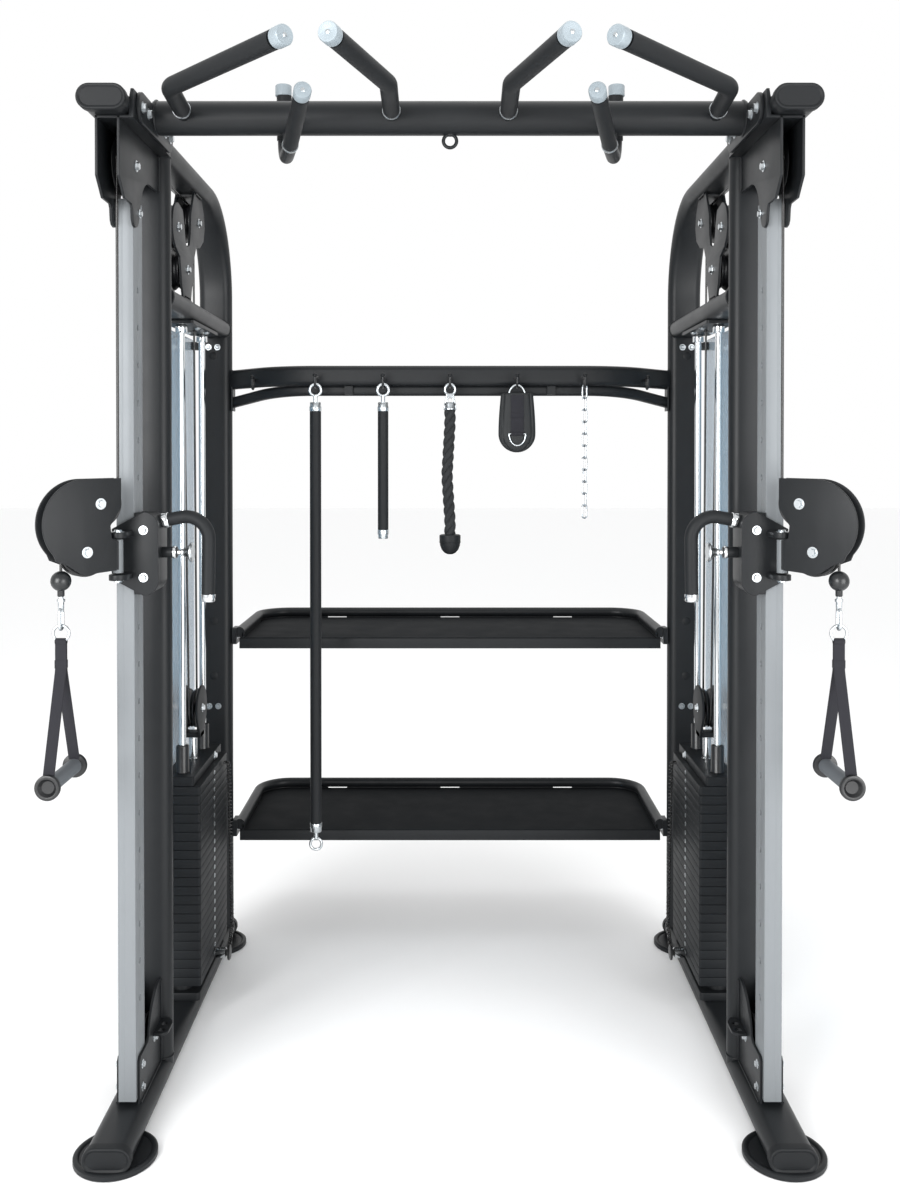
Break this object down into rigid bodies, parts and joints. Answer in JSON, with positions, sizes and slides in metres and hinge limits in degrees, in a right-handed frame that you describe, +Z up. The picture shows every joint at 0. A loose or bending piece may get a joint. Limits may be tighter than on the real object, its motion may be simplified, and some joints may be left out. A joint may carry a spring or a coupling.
{
  "type": "functional trainer",
  "caption": "Cable training machine: two weight towers with sliding pulley carriages, joined by a pull-up beam, shelves and an accessory bar.",
  "frame": {"origin": "centre of the bounding box in plan, on the floor", "axes": "+Z up, +X from the left tower to the right tower as seen by the user, +Y from the user's side to the shelves"},
  "size_m": [1.7464, 1.9738, 2.3964],
  "materials": {
    "frame_paint": "fine-textured near-black charcoal powder coat",
    "rail_metal": "satin silver, brushed lengthwise",
    "chrome": "polished chrome plating",
    "pulley_nylon": "moulded black nylon, turned groove",
    "plated_steel": "bright zinc plating",
    "webbing": "woven black nylon webbing and braid",
    "plates": "black satin paint on machined iron plates",
    "lanyard_plastic": "black coiled polyurethane cord",
    "shield": "translucent light blue acrylic sheet",
    "cable_jacket": "smooth black nylon-coated steel cable",
    "grip_rubber": "fine-textured black rubber sleeve",
    "padding": "padded black nylon with stitched edges"
  },
  "bodies": {
    "frame": {"pullup_beam": "frame_paint", "accessory_bar": "frame_paint", "upper_shelf": "frame_paint", "lower_shelf": "frame_paint", "base_frame_left": "frame_paint", "rear_arch_left": "frame_paint", "guide_rail_left": "rail_metal", "rear_bracket_left": "frame_paint", "guide_rods_left": "chrome", "side_shield_left": "shield", "main_cable_left": "cable_jacket", "base_frame_right": "frame_paint", "rear_arch_right": "frame_paint", "guide_rail_right": "rail_metal", "rear_bracket_right": "frame_paint", "guide_rods_right": "chrome", "side_shield_right": "shield", "main_cable_right": "cable_jacket"},
    "carriage_left": {"carriage_left": "frame_paint"},
    "weights_left": {"weight_stack_left": "plates", "top_plate_left": "plates", "lanyard_left": "lanyard_plastic"},
    "pull_pin_left": {"pull_pin_left": "chrome"},
    "swivel_arm_left": {"swivel_arm_left": "frame_paint"},
    "cable_end_left": {"cable_end_left": "plated_steel"},
    "strap_handle_left": {"strap_handle_left": "webbing"},
    "selector_pin_left": {"selector_pin_left": "chrome"},
    "top_pulley_left": {"top_pulley_left": "pulley_nylon"},
    "rear_pulley_1_left": {"rear_pulley_1_left": "pulley_nylon"},
    "rear_pulley_2_left": {"rear_pulley_2_left": "pulley_nylon"},
    "rear_pulley_3_left": {"rear_pulley_3_left": "pulley_nylon"},
    "stack_pulley_left": {"stack_pulley_left": "pulley_nylon"},
    "bottom_pulley_left": {"bottom_pulley_left": "pulley_nylon"},
    "arm_pulley_upper_left": {"arm_pulley_upper_left": "pulley_nylon"},
    "arm_pulley_lower_left": {"arm_pulley_lower_left": "pulley_nylon"},
    "carriage_right": {"carriage_right": "frame_paint"},
    "weights_right": {"weight_stack_right": "plates", "top_plate_right": "plates", "lanyard_right": "lanyard_plastic"},
    "pull_pin_right": {"pull_pin_right": "chrome"},
    "swivel_arm_right": {"swivel_arm_right": "frame_paint"},
    "cable_end_right": {"cable_end_right": "plated_steel"},
    "strap_handle_right": {"strap_handle_right": "webbing"},
    "selector_pin_right": {"selector_pin_right": "chrome"},
    "top_pulley_right": {"top_pulley_right": "pulley_nylon"},
    "rear_pulley_1_right": {"rear_pulley_1_right": "pulley_nylon"},
    "rear_pulley_2_right": {"rear_pulley_2_right": "pulley_nylon"},
    "rear_pulley_3_right": {"rear_pulley_3_right": "pulley_nylon"},
    "stack_pulley_right": {"stack_pulley_right": "pulley_nylon"},
    "bottom_pulley_right": {"bottom_pulley_right": "pulley_nylon"},
    "arm_pulley_upper_right": {"arm_pulley_upper_right": "pulley_nylon"},
    "arm_pulley_lower_right": {"arm_pulley_lower_right": "pulley_nylon"},
    "long_bar": {"long_bar": "grip_rubber"},
    "short_bar": {"short_bar": "grip_rubber"},
    "pull_rope": {"rope_clamp": "plated_steel", "pull_rope": "webbing", "rope_end": "grip_rubber"},
    "ankle_cuff": {"ankle_cuff": "padding"},
    "chain": {"chain": "plated_steel"}
  },
  "joints": [
    {"name": "carriage_slide_left", "type": "slide", "parent": "frame", "child": "carriage_left", "axis": [0, 0, 1], "range_m": [-0.765, 0.595], "deforming": ["main_cable_left"]},
    {"name": "pull_pin_slide_left", "type": "slide", "parent": "carriage_left", "child": "pull_pin_left", "axis": [1, 0, 0], "range_m": [-0.0045, 0.0075], "stiffness_N_per_m": 900, "springref_m": -0.0045},
    {"name": "arm_swivel_left", "type": "hinge", "parent": "carriage_left", "child": "swivel_arm_left", "pos_m": [-0.729, -0.53906, 1.31], "axis": [0, 0, -1], "range_deg": [-130, 25]},
    {"name": "stack_lift_left", "type": "slide", "parent": "frame", "child": "weights_left", "axis": [0, 0, 1], "range_m": [0, 0.4]},
    {"name": "cable_end_pull_left", "type": "slide", "parent": "swivel_arm_left", "child": "cable_end_left", "axis": [0, 0, -1], "range_m": [0, 0.801]},
    {"name": "handle_swing_left", "type": "hinge", "parent": "cable_end_left", "child": "strap_handle_left", "pos_m": [-0.82481, -0.6284, 1.17], "axis": [1, 0, 0], "range_deg": [-80, 15]},
    {"name": "selector_pin_slide_left", "type": "slide", "parent": "weights_left", "child": "selector_pin_left", "axis": [1, 0, 0], "range_m": [0, 0.075]},
    {"name": "top_pulley_spin_left", "type": "hinge", "parent": "frame", "child": "top_pulley_left", "pos_m": [-0.729, -0.47906, 2.178], "axis": [1, 0, 0], "range_deg": [0, 764]},
    {"name": "rear_pulley_2_spin_left", "type": "hinge", "parent": "frame", "child": "rear_pulley_2_left", "pos_m": [-0.729, 0.16094, 2.179], "axis": [1, 0, 0], "range_deg": [0, 917]},
    {"name": "stack_pulley_spin_left", "type": "hinge", "parent": "weights_left", "child": "stack_pulley_left", "pos_m": [-0.729, 0.19044, 0.815], "axis": [1, 0, 0], "range_deg": [0, 459]},
    {"name": "arm_pulley_lower_spin_left", "type": "hinge", "parent": "swivel_arm_left", "child": "arm_pulley_lower_left", "pos_m": [-0.78824, -0.5943, 1.323], "axis": [0.682, -0.7314, 0], "range_deg": [0, 917]},
    {"name": "arm_pulley_upper_spin_left", "type": "hinge", "parent": "swivel_arm_left", "child": "arm_pulley_upper_left", "pos_m": [-0.76557, -0.57316, 1.426], "axis": [0.682, -0.7314, 0], "range_deg": [-917, 0]},
    {"name": "rear_pulley_1_spin_left", "type": "hinge", "parent": "frame", "child": "rear_pulley_1_left", "pos_m": [-0.729, -0.07906, 2.122], "axis": [1, 0, 0], "range_deg": [-877, 682]},
    {"name": "rear_pulley_3_spin_left", "type": "hinge", "parent": "frame", "child": "rear_pulley_3_left", "pos_m": [-0.729, 0.02694, 2.028], "axis": [1, 0, 0], "range_deg": [-877, 682]},
    {"name": "bottom_pulley_spin_left", "type": "hinge", "parent": "frame", "child": "bottom_pulley_left", "pos_m": [-0.729, -0.34506, 0.15], "axis": [1, 0, 0], "range_deg": [-682, 877]},
    {"name": "carriage_slide_right", "type": "slide", "parent": "frame", "child": "carriage_right", "axis": [0, 0, 1], "range_m": [-0.765, 0.595], "deforming": ["main_cable_right"]},
    {"name": "pull_pin_slide_right", "type": "slide", "parent": "carriage_right", "child": "pull_pin_right", "axis": [-1, 0, 0], "range_m": [-0.0045, 0.0075], "stiffness_N_per_m": 900, "springref_m": -0.0045},
    {"name": "arm_swivel_right", "type": "hinge", "parent": "carriage_right", "child": "swivel_arm_right", "pos_m": [0.729, -0.53906, 1.31], "axis": [0, 0, 1], "range_deg": [-130, 25]},
    {"name": "stack_lift_right", "type": "slide", "parent": "frame", "child": "weights_right", "axis": [0, 0, 1], "range_m": [0, 0.4]},
    {"name": "cable_end_pull_right", "type": "slide", "parent": "swivel_arm_right", "child": "cable_end_right", "axis": [0, 0, -1], "range_m": [0, 0.801]},
    {"name": "handle_swing_right", "type": "hinge", "parent": "cable_end_right", "child": "strap_handle_right", "pos_m": [0.82481, -0.6284, 1.17], "axis": [1, 0, 0], "range_deg": [-80, 15]},
    {"name": "selector_pin_slide_right", "type": "slide", "parent": "weights_right", "child": "selector_pin_right", "axis": [-1, 0, 0], "range_m": [0, 0.075]},
    {"name": "top_pulley_spin_right", "type": "hinge", "parent": "frame", "child": "top_pulley_right", "pos_m": [0.729, -0.47906, 2.178], "axis": [1, 0, 0], "range_deg": [0, 764]},
    {"name": "rear_pulley_2_spin_right", "type": "hinge", "parent": "frame", "child": "rear_pulley_2_right", "pos_m": [0.729, 0.16094, 2.179], "axis": [1, 0, 0], "range_deg": [0, 917]},
    {"name": "stack_pulley_spin_right", "type": "hinge", "parent": "weights_right", "child": "stack_pulley_right", "pos_m": [0.729, 0.19044, 0.815], "axis": [1, 0, 0], "range_deg": [0, 459]},
    {"name": "arm_pulley_lower_spin_right", "type": "hinge", "parent": "swivel_arm_right", "child": "arm_pulley_lower_right", "pos_m": [0.78824, -0.5943, 1.323], "axis": [0.682, 0.7314, 0], "range_deg": [0, 917]},
    {"name": "arm_pulley_upper_spin_right", "type": "hinge", "parent": "swivel_arm_right", "child": "arm_pulley_upper_right", "pos_m": [0.76557, -0.57316, 1.426], "axis": [0.682, 0.7314, 0], "range_deg": [-917, 0]},
    {"name": "rear_pulley_1_spin_right", "type": "hinge", "parent": "frame", "child": "rear_pulley_1_right", "pos_m": [0.729, -0.07906, 2.122], "axis": [1, 0, 0], "range_deg": [-877, 682]},
    {"name": "rear_pulley_3_spin_right", "type": "hinge", "parent": "frame", "child": "rear_pulley_3_right", "pos_m": [0.729, 0.02694, 2.028], "axis": [1, 0, 0], "range_deg": [-877, 682]},
    {"name": "bottom_pulley_spin_right", "type": "hinge", "parent": "frame", "child": "bottom_pulley_right", "pos_m": [0.729, -0.34506, 0.15], "axis": [1, 0, 0], "range_deg": [-682, 877]},
    {"name": "long_bar_swing", "type": "hinge", "parent": "frame", "child": "long_bar", "pos_m": [-0.392, 0.28894, 1.7373], "axis": [1, 0, 0], "range_deg": [-60, 12]},
    {"name": "short_bar_swing", "type": "hinge", "parent": "frame", "child": "short_bar", "pos_m": [-0.195, 0.28894, 1.7373], "axis": [1, 0, 0], "range_deg": [-45, 45]},
    {"name": "pull_rope_swing", "type": "hinge", "parent": "frame", "child": "pull_rope", "pos_m": [0, 0.28894, 1.7373], "axis": [1, 0, 0], "range_deg": [-45, 45]},
    {"name": "ankle_cuff_swing", "type": "hinge", "parent": "frame", "child": "ankle_cuff", "pos_m": [0.195, 0.28894, 1.7363], "axis": [1, 0, 0], "range_deg": [-35, 40]},
    {"name": "chain_swing", "type": "hinge", "parent": "frame", "child": "chain", "pos_m": [0.392, 0.28894, 1.7377], "axis": [1, 0, 0], "range_deg": [-45, 45]}
  ],
  "couplings": [
    {"joint": "top_pulley_spin_left", "follows": "stack_lift_left", "rad_per_m": 33.333},
    {"joint": "rear_pulley_2_spin_left", "follows": "stack_lift_left", "rad_per_m": 40},
    {"joint": "stack_pulley_spin_left", "follows": "stack_lift_left", "rad_per_m": 20},
    {"joint": "arm_pulley_lower_spin_left", "follows": "stack_lift_left", "rad_per_m": 40},
    {"joint": "arm_pulley_upper_spin_left", "follows": "stack_lift_left", "rad_per_m": -40},
    {"joint": "rear_pulley_1_spin_left", "follows": "carriage_slide_left", "rad_per_m": 20},
    {"joint": "rear_pulley_3_spin_left", "follows": "carriage_slide_left", "rad_per_m": 20},
    {"joint": "bottom_pulley_spin_left", "follows": "carriage_slide_left", "rad_per_m": -20},
    {"joint": "cable_end_pull_left", "follows": "stack_lift_left", "ratio": 2},
    {"joint": "top_pulley_spin_right", "follows": "stack_lift_right", "rad_per_m": 33.333},
    {"joint": "rear_pulley_2_spin_right", "follows": "stack_lift_right", "rad_per_m": 40},
    {"joint": "stack_pulley_spin_right", "follows": "stack_lift_right", "rad_per_m": 20},
    {"joint": "arm_pulley_lower_spin_right", "follows": "stack_lift_right", "rad_per_m": 40},
    {"joint": "arm_pulley_upper_spin_right", "follows": "stack_lift_right", "rad_per_m": -40},
    {"joint": "rear_pulley_1_spin_right", "follows": "carriage_slide_right", "rad_per_m": 20},
    {"joint": "rear_pulley_3_spin_right", "follows": "carriage_slide_right", "rad_per_m": 20},
    {"joint": "bottom_pulley_spin_right", "follows": "carriage_slide_right", "rad_per_m": -20},
    {"joint": "cable_end_pull_right", "follows": "stack_lift_right", "ratio": 2}
  ]
}
